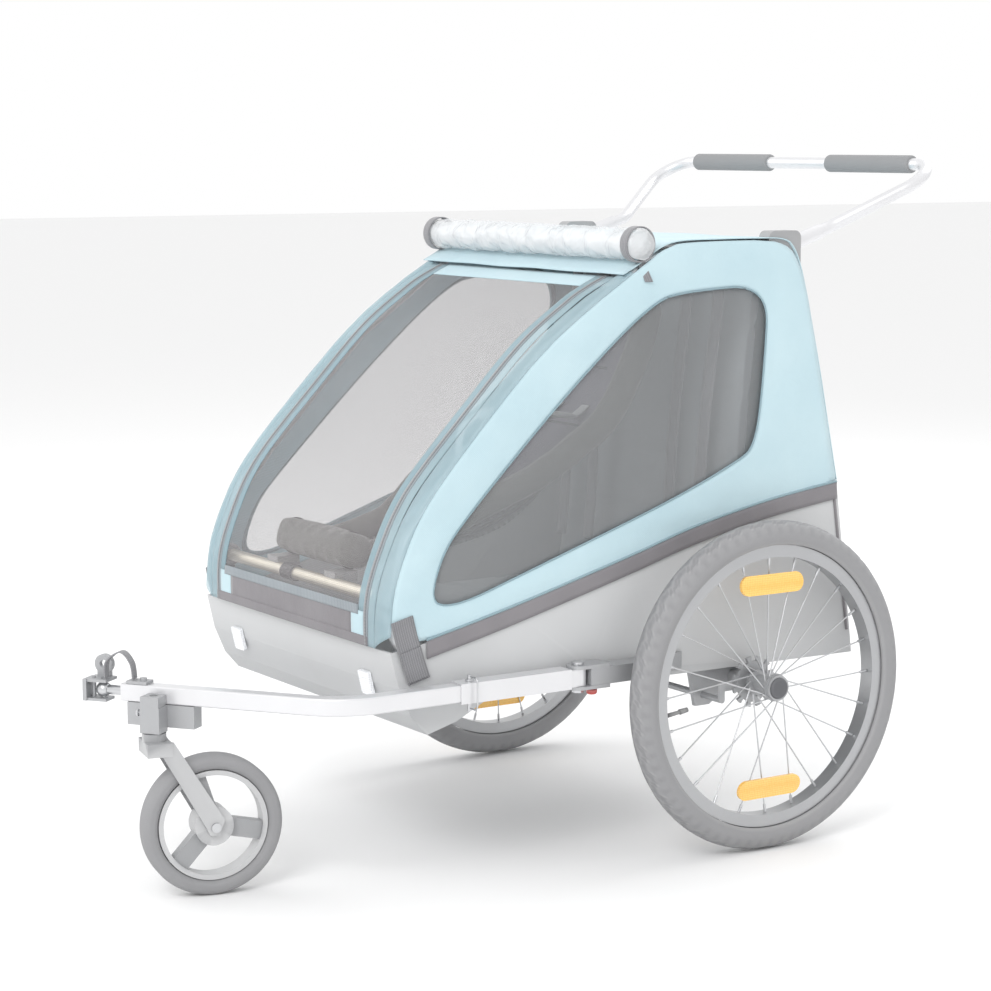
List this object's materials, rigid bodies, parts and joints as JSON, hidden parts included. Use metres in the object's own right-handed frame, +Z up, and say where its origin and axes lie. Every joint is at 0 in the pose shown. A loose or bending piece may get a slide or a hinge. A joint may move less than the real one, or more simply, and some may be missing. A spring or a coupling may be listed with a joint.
{
  "type": "child bicycle trailer",
  "caption": "Two-seat child bicycle trailer on large spoked wheels with a tow arm, front caster, push handlebar, folding fabric cabin and a hanging infant sling.",
  "frame": {"origin": "on the ground under the middle of the whole trailer", "axes": "+X to the trailer's left, -Y forward (towards the bicycle), +Z up"},
  "size_m": [0.8016, 1.3186, 1.036],
  "materials": {
    "fabric_blue": "coated woven polyester, matt",
    "fabric_grey": "woven webbing and binding",
    "window": "tinted flexible clear film",
    "net": "fine insect net",
    "clear_film": "clear crumpled film",
    "tub_plastic": "moulded, fine grain",
    "dark_plastic": "moulded, matt",
    "grey_plastic": "moulded, satin",
    "red_plastic": "moulded, satin",
    "amber_plastic": "prismatic reflector",
    "white_reflector": "prismatic reflector",
    "aluminium": "anodised, satin",
    "cast_metal": "cast and painted",
    "steel": "zinc plated",
    "crossbar_metal": "satin champagne",
    "tyre": "rubber with tread",
    "foam": "foam rubber",
    "sling_fabric": "heather padded fabric",
    "sling_net": "open net with round holes",
    "sling_pad": "quilted pad"
  },
  "bodies": {
    "base": {"base_frame": "aluminium", "posts": "aluminium", "hinge_caps": "grey_plastic", "crossbar": "crossbar_metal", "tub": "tub_plastic", "axle": "cast_metal", "tow_bracket": "cast_metal", "tow_bolt": "steel", "tie_straps": "fabric_grey", "front_reflectors": "white_reflector", "seat_cushion": "fabric_grey", "sling_bolster": "sling_fabric", "sling_clips": "dark_plastic"},
    "cage": {"cage_tubes": "aluminium", "corner_caps": "dark_plastic", "covers": "fabric_blue", "side_windows": "window", "backrest": "fabric_grey", "seat_harness": "fabric_grey", "rain_cover_roll": "clear_film", "roll_straps": "fabric_grey", "sling_hooks": "dark_plastic", "sling_rails": "sling_fabric", "sling_mesh": "sling_net", "sling_pad": "sling_pad", "sling_harness": "dark_plastic"},
    "rear_legs": {"rear_legs": "aluminium"},
    "handlebar": {"handlebar": "aluminium", "handlebar_grips": "foam"},
    "front_cover": {"front_mesh": "net", "front_cover_border": "fabric_blue"},
    "crossbar_collar": {"crossbar_collar": "dark_plastic"},
    "brake": {"brake_lever": "cast_metal"},
    "left_latch": {"left_latch": "grey_plastic"},
    "right_latch": {"right_latch": "grey_plastic"},
    "left_wheel": {"left_tyre": "tyre", "left_rim": "aluminium", "left_spokes": "steel", "left_hub": "cast_metal", "left_wheel_reflectors": "amber_plastic"},
    "right_wheel": {"right_tyre": "tyre", "right_rim": "aluminium", "right_spokes": "steel", "right_hub": "cast_metal", "right_wheel_reflectors": "amber_plastic"},
    "left_hub_button": {"left_hub_button": "grey_plastic"},
    "right_hub_button": {"right_hub_button": "grey_plastic"},
    "tow_button": {"tow_button": "red_plastic"},
    "tow_arm": {"tow_sleeve": "aluminium", "tow_arm": "aluminium", "hitch_ball": "steel", "safety_strap": "fabric_grey", "caster_receiver": "cast_metal"},
    "arm_pin": {"arm_pin": "steel"},
    "lock_pin": {"lock_pin": "steel"},
    "hitch": {"hitch_cup": "cast_metal"},
    "caster_fork": {"caster_fork": "grey_plastic", "caster_axle": "steel"},
    "caster_wheel": {"caster_tyre": "tyre", "caster_rim": "grey_plastic"}
  },
  "joints": [
    {"name": "cage_fold", "type": "hinge", "parent": "base", "child": "cage", "pos_m": [0, -0.298, 0.419], "axis": [-1, 0, 0], "range_deg": [0, 25], "deforming": ["covers", "side_windows", "backrest", "seat_harness", "sling_rails", "sling_mesh", "sling_pad", "sling_harness", "front_mesh", "front_cover_border"]},
    {"name": "rear_leg_fold", "type": "hinge", "parent": "cage", "child": "rear_legs", "pos_m": [0, 0.386, 0.872], "axis": [-1, 0, 0], "range_deg": [0, 80]},
    {"name": "handlebar_slide", "type": "slide", "parent": "cage", "child": "handlebar", "axis": [0, -0.9531, -0.3026], "range_m": [-0.03, 0]},
    {"name": "front_cover_open", "type": "hinge", "parent": "cage", "child": "front_cover", "pos_m": [0, 0.095, 0.852], "axis": [-1, 0, 0], "range_deg": [0, 85]},
    {"name": "crossbar_twist", "type": "hinge", "parent": "base", "child": "crossbar_collar", "pos_m": [-0.035, -0.298, 0.419], "axis": [1, 0, 0], "range_deg": [0, 90]},
    {"name": "brake_press", "type": "hinge", "parent": "base", "child": "brake", "pos_m": [0, 0.23, 0.228], "axis": [-1, 0, 0], "range_deg": [0, 7]},
    {"name": "left_latch_turn", "type": "hinge", "parent": "base", "child": "left_latch", "pos_m": [0.28, 0.471, 0.4961], "axis": [-1, 0, 0], "range_deg": [0, 60]},
    {"name": "right_latch_turn", "type": "hinge", "parent": "base", "child": "right_latch", "pos_m": [-0.28, 0.471, 0.4961], "axis": [-1, 0, 0], "range_deg": [0, 60]},
    {"name": "left_wheel_spin", "type": "hinge", "parent": "base", "child": "left_wheel", "pos_m": [0.369, 0.29, 0.25], "axis": [1, 0, 0], "continuous": true},
    {"name": "right_wheel_spin", "type": "hinge", "parent": "base", "child": "right_wheel", "pos_m": [-0.369, 0.29, 0.25], "axis": [1, 0, 0], "continuous": true},
    {"name": "left_hub_press", "type": "slide", "parent": "left_wheel", "child": "left_hub_button", "axis": [-1, 0, 0], "range_m": [0, 0.004], "stiffness_N_per_m": 400},
    {"name": "right_hub_press", "type": "slide", "parent": "right_wheel", "child": "right_hub_button", "axis": [1, 0, 0], "range_m": [0, 0.004], "stiffness_N_per_m": 400},
    {"name": "tow_button_press", "type": "slide", "parent": "base", "child": "tow_button", "axis": [0, 0, 1], "range_m": [0, 0.003], "stiffness_N_per_m": 400, "springref_m": -0.001},
    {"name": "tow_arm_swing", "type": "hinge", "parent": "base", "child": "tow_arm", "pos_m": [0.32, -0.022, 0.29], "axis": [0, 0, 1], "range_deg": [0, 90]},
    {"name": "arm_pin_pull", "type": "slide", "parent": "tow_arm", "child": "arm_pin", "axis": [0, 0, 1], "range_m": [0, 0.006]},
    {"name": "lock_pin_pull", "type": "slide", "parent": "tow_arm", "child": "lock_pin", "axis": [-0.7961, -0.6052, 0], "range_m": [0, 0.02]},
    {"name": "hitch_turn", "type": "hinge", "parent": "tow_arm", "child": "hitch", "pos_m": [0.02673, -0.63497, 0.29], "axis": [0, 0, 1], "range_deg": [-20, 20]},
    {"name": "caster_swivel", "type": "hinge", "parent": "tow_arm", "child": "caster_fork", "pos_m": [0.1134, -0.5992, 0.24], "axis": [0, 0, 1], "continuous": true},
    {"name": "caster_spin", "type": "hinge", "parent": "caster_fork", "child": "caster_wheel", "pos_m": [0.13003, -0.52095, 0.1015], "axis": [0.9781, -0.2079, 0], "continuous": true}
  ],
  "couplings": [
    {"joint": "rear_leg_fold", "follows": "cage_fold", "ratio": 3.2}
  ]
}
